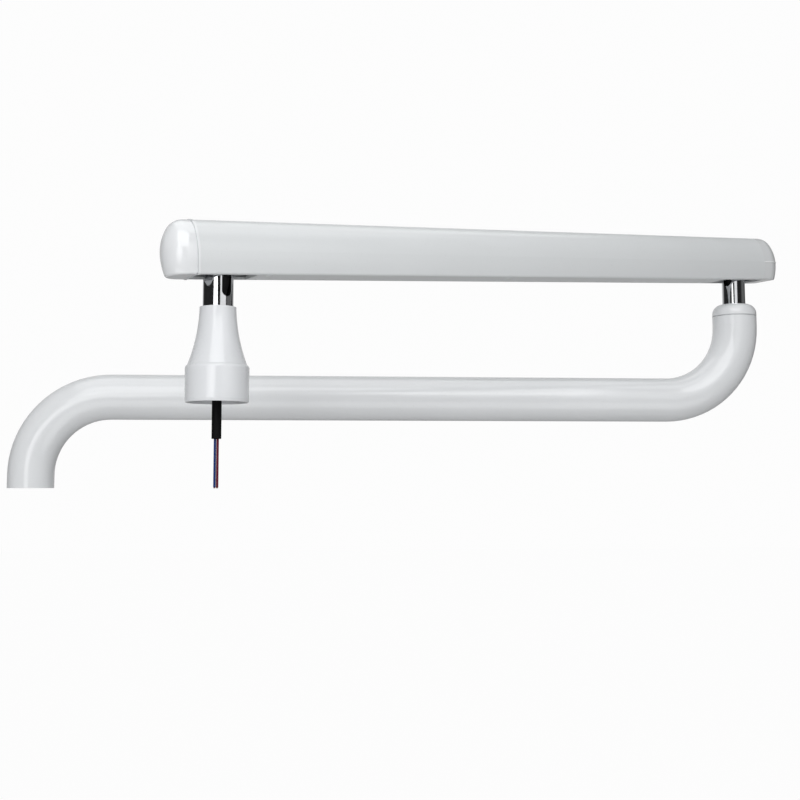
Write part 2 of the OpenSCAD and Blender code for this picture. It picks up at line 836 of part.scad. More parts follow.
module lamp_circlip() {
    color("dimgray")
        lamp_axis()
            translate([0, 0, bush_bottom - swivel_washer_t - clip_t])
                circlip(lamp_r - 0.7, swivel_washer_r, clip_t);
}

// bush that turns on the lamp shaft, stopped by the pin in its inner groove
module swivel_bush() {
    slack = asin(stop_pin_r / lamp_r) + 1;
    color("darkgray")
        lamp_axis()
            difference() {
                pipe(sleeve_r, lamp_r + running, bush_bottom, bush_top);
                translate([0, 0, lamp_stop_z - stop_pin_r - 0.3])
                    rotate([0, 0, -lamp_swivel_range - slack])
                        rotate_extrude(angle = 2 * (lamp_swivel_range + slack))
                            translate([lamp_r - 1, 0]) square([lamp_stop_groove + 1, 2 * stop_pin_r + 0.6]);
            }
}

// flared neck and skirt of the bell, pulled in by inset
module bell_outline(inset) {
    difference() {
        translate([0, shoulder_z - shoulder_r]) square([bell_r, rim_z - shoulder_z + shoulder_r]);
        translate([bell_neck_r + bell_flare_r, rim_z + flare_above_rim])
            circle(r = bell_flare_r + inset, $fn = 360);
    }
    difference() {
        translate([0, bell_bottom]) square([bell_r - inset, shoulder_z - shoulder_r - bell_bottom]);
        if (inset == 0)
            polygon([
                [bell_r - skirt_bevel, bell_bottom - eps], [bell_r + 1, bell_bottom - eps],
                [bell_r + 1, bell_bottom + skirt_bevel_h], [bell_r, bell_bottom + skirt_bevel_h]
            ]);
    }
    translate([bell_r - shoulder_r, shoulder_z - shoulder_r]) circle(r = shoulder_r - inset);
    translate([0, shoulder_z - shoulder_r]) square([bell_r - shoulder_r, shoulder_r - inset]);
}

module bell_cover() {
    color("white")
        lamp_axis()
            rotate_extrude()
                difference() {
                    bell_outline(0);
                    difference() {
                        bell_outline(bell_wall);
                        translate([0, bush_top]) square([bell_r, rim_z]);
                    }
                    translate([0, bell_bottom - 1]) square([bell_r - bell_wall, 3]);
                    square([lamp_r + 0.3, rim_z + 1]);
                }
}

/* ---- cables ---- */

module tube_lead() {
    run_r = bend_r - tube_lead_drop;
    path = concat(
        arc_xz([bend_r, spigot_len], run_r, 178, 90, 6),
        arc_xz([lower_reach - bend_r, riser_z], bend_r + tube_lead_drop, 270, 310, 4),
        [[lower_reach - 5, 0, riser_z - 38], [lower_reach - 1, 0, neck_bottom - 3]]
    );
    color("black") sweep(path, cable_r, cable_sides, [0, 1, 0]);
}

module elbow_lead() {
    low = neck_bottom - 1 - pivot_z;
    path = smooth(concat([[0, 0, low], [0, 0, low + 14]], elbow_route), 3);
    color("black") elbow_frame() sweep(path, cable_r, cable_sides, [0, 1, 0]);
}

module arm_lead() {
    path = [for (s = [fork_near + 6, upper_reach - fork_near - 6]) [s, arm_lead_y, arm_lead_z]];
    color("black") arm_frame() sweep(path, cable_r, cable_sides, [0, 1, 0]);
}

module lamp_lead() {
    low = sheath_top + 0.8 - lamp_pivot.z;
    path = smooth(concat([[0, 0, low], [0, 0, low + 10]], lamp_route), 3);
    color("black") lamp_frame() sweep(path, cable_r, cable_sides, [0.3, -1, 0.2]);
}

module sheath() {
    path = [for (z = [sheath_top, (sheath_top + sheath_end) / 2, sheath_end]) [0, 0, z]];
    color("black") lamp_axis() sweep(path, cable_r, cable_sides, [0, 1, 0]);
}

module wire(side) {
    path = [for (z = [sheath_end, (sheath_end + wire_end) / 2, wire_end]) [side, 0, z]];
    lamp_axis() sweep(path, wire_r, wire_sides, [0, 1, 0]);
}

module blue_wire() color("royalblue") wire(-wire_side);

module red_wire() color("firebrick") wire(wire_side);

lower_tube();
elbow_collar();
elbow_upper_bush();
elbow_lower_bush();
elbow_thrust_washer();
elbow_shaft();
elbow_stop_pin();
elbow_wave_washer();
elbow_circlip();
elbow_knuckle();
elbow_pivot_bush();
elbow_link_pin();
spring_pin();
arm_shell();
bottom_cover();
elbow_cap();
lamp_cap();
elbow_fork();
lamp_fork();
elbow_pivot_pin();
lamp_pivot_pin();
case_screws();
spring_seat();
balance_spring();
spring_rod();
adjusting_nut();
spring_washer();
link_bar();
lamp_knuckle();
lamp_pivot_bush();
lamp_link_pin();
lamp_shaft();
lamp_stop_pin();
swivel_washer();
lamp_circlip();
swivel_bush();
bell_cover();
tube_lead();
elbow_lead();
arm_lead();
lamp_lead();
sheath();
blue_wire();
red_wire();
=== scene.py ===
"""Looks, cables, light and camera for the support arm of a dental operating light."""

import json
import logging
import math
from dataclasses import dataclass, field
from enum import Enum

import bmesh
import bpy
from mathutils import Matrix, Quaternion, Vector


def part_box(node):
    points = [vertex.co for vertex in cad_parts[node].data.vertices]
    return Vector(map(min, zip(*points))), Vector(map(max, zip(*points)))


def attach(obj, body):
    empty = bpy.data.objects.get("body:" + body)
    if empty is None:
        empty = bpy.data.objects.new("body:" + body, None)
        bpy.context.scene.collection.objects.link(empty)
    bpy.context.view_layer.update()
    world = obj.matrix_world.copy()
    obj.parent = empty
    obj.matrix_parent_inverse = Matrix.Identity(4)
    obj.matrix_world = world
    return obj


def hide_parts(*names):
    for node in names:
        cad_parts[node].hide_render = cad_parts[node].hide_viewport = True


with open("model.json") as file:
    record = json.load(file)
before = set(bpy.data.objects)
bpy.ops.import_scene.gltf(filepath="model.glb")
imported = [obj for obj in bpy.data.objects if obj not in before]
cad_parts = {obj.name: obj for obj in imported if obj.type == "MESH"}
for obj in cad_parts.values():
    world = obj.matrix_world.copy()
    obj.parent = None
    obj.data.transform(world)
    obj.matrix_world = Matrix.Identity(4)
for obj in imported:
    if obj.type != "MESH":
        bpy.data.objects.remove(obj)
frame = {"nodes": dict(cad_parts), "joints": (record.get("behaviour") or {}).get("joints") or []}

LOG = logging.getLogger("support_arm")
MM = 0.001
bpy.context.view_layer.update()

Colour = tuple[float, float, float]
Route = list[Vector]


# ---- shader bench ----


class Signal:
    """A shader socket that takes part in Python arithmetic."""

    def __init__(self, bench: "Bench", socket: bpy.types.NodeSocket) -> None:
        """Keeps the bench that adds nodes and the socket that gives the value."""
        self.bench = bench
        self.socket = socket

    def _math(self, operation: str, first: "Number", second: "Number") -> "Signal":
        """Adds one Math node.

        Args:
            operation: The node's operation.
            first: The left operand.
            second: The right operand.

        Returns:
            The node's value.
        """
        return self.bench.add("ShaderNodeMath", {"operation": operation}, {0: first, 1: second})

    def __add__(self, other: "Number") -> "Signal":
        """Sum."""
        return self._math("ADD", self, other)

    def __radd__(self, other: "Number") -> "Signal":
        """Sum with a number on the left."""
        return self._math("ADD", other, self)

    def __sub__(self, other: "Number") -> "Signal":
        """Difference."""
        return self._math("SUBTRACT", self, other)

    def __rsub__(self, other: "Number") -> "Signal":
        """Difference with a number on the left."""
        return self._math("SUBTRACT", other, self)

    def __mul__(self, other: "Number") -> "Signal":
        """Product."""
        return self._math("MULTIPLY", self, other)

    def __rmul__(self, other: "Number") -> "Signal":
        """Product with a number on the left."""
        return self._math("MULTIPLY", other, self)

    def __truediv__(self, other: "Number") -> "Signal":
        """Quotient."""
        return self._math("DIVIDE", self, other)

    def __rtruediv__(self, other: "Number") -> "Signal":
        """Quotient with a number on the left."""
        return self._math("DIVIDE", other, self)

    def highest(self, other: "Number") -> "Signal":
        """The larger of two values."""
        return self._math("MAXIMUM", self, other)

    def step(self, low: float, high: float) -> "Signal":
        """Smooth step.

        Args:
            low: Value at which the result leaves 0.
            high: Value at which the result reaches 1.

        Returns:
            A value from 0 to 1.
        """
        return self.bench.add(
            "ShaderNodeMapRange",
            {"interpolation_type": "SMOOTHSTEP"},
            {"Value": self, "From Min": low, "From Max": high},
        )


Number = Signal | float


class Bench:
    """One node tree and the only method that adds nodes to it."""

    def __init__(self, tree: bpy.types.NodeTree) -> None:
        """Empties the tree."""
        self.tree = tree
        tree.nodes.clear()

    def add(self, kind: str, settings: dict, sockets: dict, output: str | int = 0) -> Signal:
        """Adds one node, sets it up and joins it.

        Args:
            kind: The node's type.
            settings: Properties, set first.
            sockets: Values or Signals by input name or index.
            output: The output to hand back.

        Returns:
            The chosen output.
        """
        node = self.tree.nodes.new(kind)
        for key, value in settings.items():
            setattr(node, key, value)
        for key, value in sockets.items():
            self._join(node, key, value)
        return Signal(self, node.outputs[output] if len(node.outputs) else node.inputs[0])

    def _join(self, node: bpy.types.Node, key: str | int, value: object) -> None:
        """Sets or links one input.

        Args:
            node: The node that has the input.
            key: The input's name or index.
            value: A Signal to link, or a value to set; a colour may have three parts.
        """
        socket = node.inputs[key]
        if isinstance(value, Signal):
            self.tree.links.new(value.socket, socket)
            return
        if isinstance(value, tuple) and len(value) == 3 and socket.type == "RGBA":
            value = (*value, 1.0)
        socket.default_value = value

    def place(self) -> Signal:
        """Object coordinates, in metres."""
        return self.add("ShaderNodeTexCoord", {}, {}, "Object")

    def part(self, vector: Signal, axis: str) -> Signal:
        """One component of a vector."""
        return self.add("ShaderNodeSeparateXYZ", {}, {0: vector}, axis)

    def turned(self, vector: Signal, centre: Vector, angles: tuple, scale: tuple) -> Signal:
        """Coordinates about a centre, turned and stretched.

        Args:
            vector: Coordinates to change.
            centre: Point that becomes the origin.
            angles: Turns about X, Y and Z, in radians.
            scale: Stretch along each turned axis.

        Returns:
            The new coordinates.
        """
        moved = self.add(
            "ShaderNodeVectorMath", {"operation": "SUBTRACT"}, {0: vector, 1: tuple(centre)}
        )
        spun = self.add(
            "ShaderNodeVectorRotate",
            {"rotation_type": "EULER_XYZ", "invert": True},
            {"Vector": moved, "Rotation": angles},
        )
        return self.add("ShaderNodeVectorMath", {"operation": "MULTIPLY"}, {0: spun, 1: scale})

    def noise(self, vector: Signal, scale: float, detail: float = 2.0) -> Signal:
        """Soft noise from 0 to 1."""
        return self.add(
            "ShaderNodeTexNoise",
            {"noise_dimensions": "3D"},
            {"Vector": vector, "Scale": scale, "Detail": detail, "Roughness": 0.55},
        )

    def mix(self, amount: Number, first: object, second: object) -> Signal:
        """Mixes two colours.

        Args:
            amount: Share of the second colour.
            first: Colour or Signal.
            second: Colour or Signal.

        Returns:
            The mixed colour.
        """
        return self.add(
            "ShaderNodeMix",
            {"data_type": "RGBA", "clamp_factor": True},
            {0: amount, 6: first, 7: second},
            2,
        )

    def bump(self, height: Signal, depth: float) -> Signal:
        """Normal from a height of 0 to 1 that stands for a depth in metres."""
        sockets = {"Height": height, "Distance": depth, "Strength": 1.0}
        return self.add("ShaderNodeBump", {}, sockets)


def shade(colour: Colour, factor: float) -> Colour:
    """A colour made lighter or darker."""
    return tuple(min(1.0, part * factor) for part in colour)


class Finish:
    """Something that can be made into a material once."""

    name: str

    def surface(self, bench: Bench) -> dict:
        """The sockets of the shader by name, which each kind of finish gives."""
        raise NotImplementedError

    def material(self) -> bpy.types.Material:
        """Makes the material at the first call and finds it again later.

        Returns:
            The material.
        """
        known = bpy.data.materials.get(f"finish_{self.name}")
        if known is not None:
            return known
        made = bpy.data.materials.new(f"finish_{self.name}")
        made.use_nodes = True
        bench = Bench(made.node_tree)
        shader = bench.add("ShaderNodeBsdfPrincipled", {}, self.surface(bench))
        bench.add("ShaderNodeOutputMaterial", {}, {"Surface": shader})
        return made


@dataclass(frozen=True)
class CoatedFinish(Finish):
    """Sprayed paint or moulded plastic: a clouded colour, a fine skin and a clear gloss."""

    name: str
    colour: Colour
    roughness: float
    gloss: float = 0.5
    gloss_roughness: float = 0.07
    clouds: float = 0.03
    cloud_size: float = 0.06
    skin_size: float = 0.0016
    skin_depth: float = 4e-6
    specks: float = 0.0
    speck_scale: float = 900.0
    speck_from: float = 0.74
    speck_full: float = 0.8
    speck_shade: float = 0.62
    cloud_roughness: float = 0.05
    skin_roughness: float = 0.04
    base_specular: float = 0.1
    gloss_ior: float = 1.7

    def surface(self, bench: Bench) -> dict:
        """Clouded base under a clear gloss.

        Args:
            bench: The material's bench.

        Returns:
            The sockets of the shader, by name.
        """
        place = bench.place()
        cloud = bench.noise(place, 1 / self.cloud_size, 3.0)
        skin = bench.noise(place, 1 / self.skin_size, 2.0)
        dust = bench.noise(place, self.speck_scale, 0.0).step(self.speck_from, self.speck_full)
        spots = dust * self.specks
        rough = (cloud - 0.5) * self.cloud_roughness + (skin - 0.5) * self.skin_roughness
        base = bench.mix(
            cloud, shade(self.colour, 1 - self.clouds), shade(self.colour, 1 + self.clouds)
        )
        return {
            "Base Color": bench.mix(spots, base, shade(self.colour, self.speck_shade)),
            "Roughness": rough + self.roughness,
            "Normal": bench.bump(skin, self.skin_depth),
            "Specular IOR Level": self.base_specular,
            "Coat Weight": self.gloss,
            "Coat Roughness": self.gloss_roughness,
            "Coat IOR": self.gloss_ior,
        }


@dataclass(frozen=True)
class BeadedFinish(CoatedFinish):
    """Moulded plastic with a bead along the arm, with a painted highlight along the bead."""

    bead_up: float = 0.0
    bead_half: float = 0.00055
    bead_from: float = 0.5
    # Colour of the painted highlight along the bead.
    bead_highlight_colour: Colour = (0.92, 0.93, 0.94)

    def surface(self, bench: Bench) -> dict:
        """The plastic, with a painted highlight along the bead.

        Args:
            bench: The material's bench.

        Returns:
            The sockets of the shader, by name.
        """
        sockets = super().surface(bench)
        laid = bench.turned(bench.place(), ARM.elbow, ARM.angles, (1.0, 1.0, 1.0))
        off = (bench.part(laid, "Z") - self.bead_up) / self.bead_half
        # Painted highlight: a thin band at the bead's height is coloured lighter, where the bead
        # would catch the light.
        bead_highlight = 1 - (off * off).step(self.bead_from, 1.0)
        sockets["Base Color"] = bench.mix(bead_highlight, sockets["Base Color"], self.bead_highlight_colour)
        return sockets


class Grain(Enum):
    """Which way a metal's tool marks run."""

    RINGS = "rings round an upright axis"
    ACROSS = "rings round a pin across the arm"
    CAST = "no direction"


@dataclass(frozen=True)
class MetalFinish(Finish):
    """Bare or plated metal with the marks of its tool."""

    name: str
    colour: Colour
    roughness: float
    grain: Grain
    grain_size: float = 0.0003
    grain_depth: float = 3e-6
    stain: float = 0.1
    stain_scale: float = 140.0
    stain_from: float = 0.35
    stain_full: float = 0.75
    stain_shade: float = 0.55
    stain_roughness: float = 0.06
    mark_roughness: float = 0.5
    mark_stretch: float = 0.01

    def marks(self, bench: Bench, place: Signal) -> Signal:
        """Tool marks from 0 to 1.

        Args:
            bench: The material's bench.
            place: Object coordinates.

        Returns:
            The height of the marks.
        """
        stretch = {
            Grain.RINGS: (self.mark_stretch, self.mark_stretch, 1.0),
            Grain.ACROSS: (1.0, self.mark_stretch, 1.0),
            Grain.CAST: (1.0, 1.0, 1.0),
        }[self.grain]
        angles = (0.0, 0.0, 0.0) if self.grain is Grain.RINGS else ARM.angles
        laid = bench.turned(place, ARM.elbow, angles, stretch)
        return bench.noise(laid, 1 / self.grain_size, 3.0)

    def surface(self, bench: Bench) -> dict:
        """Metal with tool marks and faint stains.

        Args:
            bench: The material's bench.

        Returns:
            The sockets of the shader, by name.
        """
        place = bench.place()
        marks = self.marks(bench, place)
        smudge = bench.noise(place, self.stain_scale, 3.0).step(self.stain_from, self.stain_full)
        dull = self.roughness + smudge * self.stain_roughness
        return {
            "Base Color": bench.mix(
                smudge * self.stain, self.colour, shade(self.colour, self.stain_shade)
            ),
            "Metallic": 1.0,
            "Roughness": dull + (marks - 0.5) * (self.roughness * self.mark_roughness),
            "Normal": bench.bump(marks, self.grain_depth),
        }


@dataclass(frozen=True)
class FlexFinish(Finish):
    """Soft cable sheath or wire insulation, slightly uneven from the extruder."""

    name: str
    colour: Colour
    roughness: float
    ripple_scale: float = 420.0
    ripple_roughness: float = 0.12
    ripple_depth: float = 2e-5
    dust_scale: float = 60.0
    dust_from: float = 0.4
    dust_full: float = 0.9
    dust_cover: float = 0.35
    dust_shade: float = 1.8
    dust_roughness: float = 0.08
    specular: float = 0.08

    def surface(self, bench: Bench) -> dict:
        """Dull plastic with a ripple and a little dust.

        Args:
            bench: The material's bench.

        Returns:
            The sockets of the shader, by name.
        """
        place = bench.place()
        ripple = bench.noise(place, self.ripple_scale, 2.0)
        dust = bench.noise(place, self.dust_scale, 4.0).step(self.dust_from, self.dust_full)
        pale = shade(self.colour, self.dust_shade)
        uneven = self.roughness + (ripple - 0.5) * self.ripple_roughness
        return {
            "Base Color": bench.mix(dust * self.dust_cover, self.colour, pale),
            "Roughness": uneven + dust * self.dust_roughness,
            "Normal": bench.bump(ripple, self.ripple_depth),
            "Specular IOR Level": self.specular,
        }


# ---- the arm's own directions ----


@dataclass(frozen=True)
class ArmPlace:
    """Where the upper arm lies: its two pivots and the directions along it."""

    elbow: Vector
    lamp: Vector

    @classmethod
    def from_frame(cls) -> "ArmPlace":
        """Reads both tilt pivots from the joints."""
        joints = {joint["name"]: joint for joint in frame["joints"]}
        return cls(Vector(joints["arm_tilt"]["pos_m"]), Vector(joints["lamp_level"]["pos_m"]))

    @property
    def along(self) -> Vector:
        """Direction from the elbow to the lamp."""
        return (self.lamp - self.elbow).normalized()

    @property
    def level(self) -> Vector:
        """Level direction below the arm."""
        return Vector((self.along.x, self.along.y, 0.0)).normalized()

    @property
    def side(self) -> Vector:
        """Direction to the arm's near side."""
        return Vector((0.0, 0.0, 1.0)).cross(self.level)

    @property
    def angles(self) -> tuple[float, float, float]:
        """Turn that takes X along the arm, as Euler angles."""
        return tuple(self.along.to_track_quat("X", "Z").to_euler())

    def in_arm(self, along: float, side: float, up: float) -> Vector:
        """A point of the tilted arm, from millimetres along, to the near side and up."""
        rise = self.along.cross(self.side)
        return self.elbow + (self.along * along + self.side * side + rise * up) * MM

    def in_head(self, pivot: Vector, along: float, side: float, up: float) -> Vector:
        """A point of an upright head, from millimetres about its pivot."""
        return pivot + (self.level * along + self.side * side + Vector((0.0, 0.0, up))) * MM


ARM = ArmPlace.from_frame()

WHITE_PAINT = CoatedFinish("white_paint", (0.72, 0.735, 0.75), 0.3, 0.6, 0.09, specks=0.12)
ARM_PAINT = CoatedFinish("arm_paint", (0.66, 0.68, 0.69), 0.34, 0.5, 0.2, clouds=0.02, specks=0.1)
# The lamp cap is the elbow cap's plastic, painted lighter all over: painted light that stands in
# for light the lamps don't give it.
CAP_PLASTIC = CoatedFinish("cap_plastic", (0.74, 0.755, 0.77), 0.26, 0.8, 0.06, clouds=0.02)
# The elbow cap's plastic, with a painted highlight along its bead.
ELBOW_CAP_PLASTIC = BeadedFinish(
    "elbow_cap_plastic", (0.68, 0.695, 0.705), 0.26, 0.8, 0.08, clouds=0.02, bead_up=-4.0 * MM
)
BELL_PLASTIC = CoatedFinish("bell_plastic", (0.7, 0.715, 0.735), 0.28, 0.6, 0.09, clouds=0.015)
BLACK_PLASTIC = CoatedFinish("black_plastic", (0.03, 0.03, 0.032), 0.5, 0.1, 0.3)
CHROME = MetalFinish("chrome", (0.74, 0.75, 0.77), 0.05, Grain.RINGS, 0.0002, 4e-7, 0.15)
STEEL = MetalFinish("steel", (0.55, 0.56, 0.57), 0.3, Grain.ACROSS)
SPRING_STEEL = MetalFinish("spring_steel", (0.12, 0.12, 0.13), 0.38, Grain.CAST)
CAST_STEEL = MetalFinish("cast_steel", (0.3, 0.31, 0.32), 0.42, Grain.CAST, 0.0008, 2e-5)
ALUMINIUM = MetalFinish("aluminium", (0.68, 0.69, 0.7), 0.32, Grain.RINGS)
BRONZE = MetalFinish("bronze", (0.6, 0.4, 0.17), 0.3, Grain.RINGS)
COPPER = MetalFinish("copper", (0.72, 0.36, 0.22), 0.28, Grain.RINGS)
BLACK_SHEATH = FlexFinish("black_sheath", (0.004, 0.004, 0.0045), 0.55)
BLUE_CORE = FlexFinish("blue_insulation", (0.012, 0.03, 0.13), 0.5)
RED_CORE = FlexFinish("red_insulation", (0.11, 0.01, 0.022), 0.5)

DRESS: dict[Finish, tuple[str, ...]] = {
    WHITE_PAINT: ("lower_tube", "elbow_collar"),
    ARM_PAINT: ("arm_shell", "bottom_cover"),
    CAP_PLASTIC: ("lamp_cap",),
    ELBOW_CAP_PLASTIC: ("elbow_cap",),
    BELL_PLASTIC: ("bell_cover",),
    BLACK_PLASTIC: ("elbow_upper_bush",),
    CHROME: ("elbow_shaft", "lamp_shaft"),
    STEEL: (
        "elbow_thrust_washer", "elbow_stop_pin", "elbow_wave_washer", "elbow_link_pin",
        "spring_pin", "elbow_pivot_pin", "lamp_pivot_pin", "spring_rod", "adjusting_nut",
        "spring_washer", "lamp_link_pin", "lamp_stop_pin", "swivel_washer", "link_bar",
    ),
    SPRING_STEEL: ("elbow_circlip", "lamp_circlip"),
    CAST_STEEL: ("elbow_knuckle", "lamp_knuckle"),
    ALUMINIUM: ("elbow_fork", "lamp_fork", "spring_seat", "swivel_bush"),
    BRONZE: ("elbow_lower_bush", "elbow_pivot_bush", "lamp_pivot_bush"),
}


# ---- meshes ----


def finish_piece(
    piece: bpy.types.Object, finish: Finish, body: str, replaced: tuple[str, ...] = ()
) -> bpy.types.Object:
    """Dresses a finished piece and hands it to the frame.

    Args:
        piece: An object at the origin whose place is in its mesh.
        finish: Its look.
        body: The body that it rides on.
        replaced: CAD nodes that it stands for.

    Returns:
        The same piece.
    """
    if not piece.data.materials:
        piece.data.materials.append(finish.material())
    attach(piece, body)
    if replaced:
        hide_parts(*replaced)
    LOG.info("%s: %d faces on %s", piece.name, len(piece.data.polygons), body)
    return piece


def new_object(name: str, mesh: bpy.types.Mesh) -> bpy.types.Object:
    """Puts a mesh in the scene.

    Args:
        name: The object's name.
        mesh: Its mesh, in its place.

    Returns:
        The object, at the origin.
    """
    piece = bpy.data.objects.new(name, mesh)
    bpy.context.scene.collection.objects.link(piece)
    return piece


def smooth_route(points: Route, steps: int) -> Route:
    """A curve through the points, with steps stretches between each two.

    Args:
        points: Points that the curve goes through.
        steps: Stretches between neighbours.

    Returns:
        The finer route.
    """
    fine: Route = []
    last = len(points) - 1
    for index in range(last):
        a, b = points[max(index - 1, 0)], points[index]
        c, d = points[index + 1], points[min(index + 2, last)]
        for step in range(steps):
            t = step / steps
            fine.append(
                0.5 * (2 * b + (c - a) * t + (2 * a - 5 * b + 4 * c - d) * t**2
                       + (3 * b - a - 3 * c + d) * t**3)
            )
    return [*fine, points[last]]


def straight_route(start: Vector, end: Vector, points: int = 17) -> Route:
    """Evenly spaced points from start to end."""
    return [start.lerp(end, index / (points - 1)) for index in range(points)]


@dataclass(frozen=True)
class Hose:
    """A round solid along a route, with softened rims at its cut ends."""

    name: str
    route: Route
    radius: float
    sides: int = 28
    rim: float = 0.3 * MM
    rim_share: float = 0.3

    def rings(self) -> list[tuple[Vector, Vector, float]]:
        """Works out the rings, with closer ones at the softened ends.

        Returns:
            Centre, direction and radius of each ring.
        """
        route = self.route
        last = len(route) - 1
        ways = [
            (route[min(i + 1, last)] - route[max(i - 1, 0)]).normalized() for i in range(last + 1)
        ]
        rows = [(p, w, self.radius) for p, w in zip(route, ways)]
        first_way, last_way, share = ways[0], ways[last], self.rim_share
        head = [
            (route[0], first_way, self.radius - self.rim),
            (route[0] + first_way * self.rim * share, first_way, self.radius - self.rim * share),
            (route[0] + first_way * self.rim, first_way, self.radius),
        ]
        tail = [
            (route[last] - last_way * self.rim, last_way, self.radius),
            (route[last] - last_way * self.rim * share, last_way, self.radius - self.rim * share),
            (route[last], last_way, self.radius - self.rim),
        ]
        return head + rows[1:-1] + tail

    def mesh(self) -> bpy.types.Mesh:
        """Joins the rings into a closed, smooth mesh.

        Returns:
            The mesh.
        """
        rows = self.rings()
        work = bmesh.new()
        across = rows[0][1].orthogonal().normalized()
        loops = []
        for centre, way, radius in rows:
            across = (across - way * across.dot(way)).normalized()
            other = way.cross(across)
            loops.append([
                work.verts.new(
                    centre + radius * (across * math.cos(a) + other * math.sin(a))
                )
                for a in (2 * math.pi * k / self.sides for k in range(self.sides))
            ])
        for low, high in zip(loops, loops[1:]):
            for k in range(self.sides):
                n = (k + 1) % self.sides
                work.faces.new((low[k], low[n], high[n], high[k])).smooth = True
        work.faces.new(tuple(reversed(loops[0])))
        work.faces.new(tuple(loops[-1]))
        mesh = bpy.data.meshes.new(self.name)
        work.to_mesh(mesh)
        work.free()
        return mesh

    def make(self) -> bpy.types.Object:
        """The object."""
        return new_object(self.name, self.mesh())


# ---- geometry nodes ----


class GeoTree:
    """A Geometry Nodes tree with named inputs, which is run once into a plain mesh."""

    def __init__(self, name: str) -> None:
        """Starts an empty tree with a geometry output.

        Args:
            name: The tree's and the piece's name.
        """
        self.name = name
        self.tree = bpy.data.node_groups.new(name, "GeometryNodeTree")
        for way in ("INPUT", "OUTPUT"):
            self.tree.interface.new_socket(
                "Geometry", in_out=way, socket_type="NodeSocketGeometry"
            )
        self.values: dict[str, tuple[str, object]] = {}
        self.source = self.tree.nodes.new("NodeGroupInput")
        self.sink = self.tree.nodes.new("NodeGroupOutput")

    def size(self, name: str, value: float | int) -> bpy.types.NodeSocket:
        """Adds a named input.

        Args:
            name: The input's name.
            value: Its value; a whole number makes an integer input.

        Returns:
            The socket to link from.
        """
        kind = "NodeSocketInt" if isinstance(value, int) else "NodeSocketFloat"
        made = self.tree.interface.new_socket(name, in_out="INPUT", socket_type=kind)
        self.values[name] = (made.identifier, value)
        return self.source.outputs[name]

    def node(self, kind: str, settings: dict | None = None, **sockets: object) -> bpy.types.Node:
        """Adds one node.

        Args:
            kind: The node's type.
            settings: Properties, set first.
            **sockets: Values or sockets by input name, with _ for a space.

        Returns:
            The node.
        """
        node = self.tree.nodes.new(kind)
        for key, value in (settings or {}).items():
            setattr(node, key, value)
        for key, value in sockets.items():
            self.join(node, key.replace("_", " "), value)
        return node

    def join(self, node: bpy.types.Node, key: str | int, value: object) -> None:
        """Sets or links one input of a node.

        Args:
            node: The node that has the input.
            key: The input's name or index.
            value: A socket to link, or a value to set.
        """
        if isinstance(value, bpy.types.NodeSocket):
            self.tree.links.new(value, node.inputs[key])
        else:
            node.inputs[key].default_value = value

    def build(
        self, geometry: bpy.types.NodeSocket, finish: Finish, start: bpy.types.Mesh
    ) -> bpy.types.Object:
        """Runs the tree on a start mesh and leaves a plain mesh.

        Args:
            geometry: The socket with the finished shape.
            finish: The look that Set Material gives.
            start: The mesh that the tree works on.

        Returns:
            A new object at the origin.
        """
        real = self.node("GeometryNodeRealizeInstances", Geometry=geometry)
        dressed = self.node(
            "GeometryNodeSetMaterial", Geometry=real.outputs[0], Material=finish.material()
        )
        self.join(self.sink, 0, dressed.outputs[0])
        carrier = new_object(f"{self.name}_carrier", start)
        modifier = carrier.modifiers.new(self.name, "NODES")
        modifier.node_group = self.tree
        for identifier, value in self.values.values():
            modifier[identifier] = value
        graph = bpy.context.evaluated_depsgraph_get()
        mesh = bpy.data.meshes.new_from_object(carrier.evaluated_get(graph))
        carrier.modifiers.clear()
        bpy.data.objects.remove(carrier)
        mesh.name = self.name
        return new_object(self.name, mesh)


def points_mesh(name: str, points: list[Vector]) -> bpy.types.Mesh:
    """Makes a mesh of loose points.

    Args:
        name: The mesh's name.
        points: The points, in metres.

    Returns:
        The mesh.
    """
    mesh = bpy.data.meshes.new(name)
    mesh.from_pydata([tuple(p) for p in points], [], [])
    return mesh


# ---- sub-assemblies ----


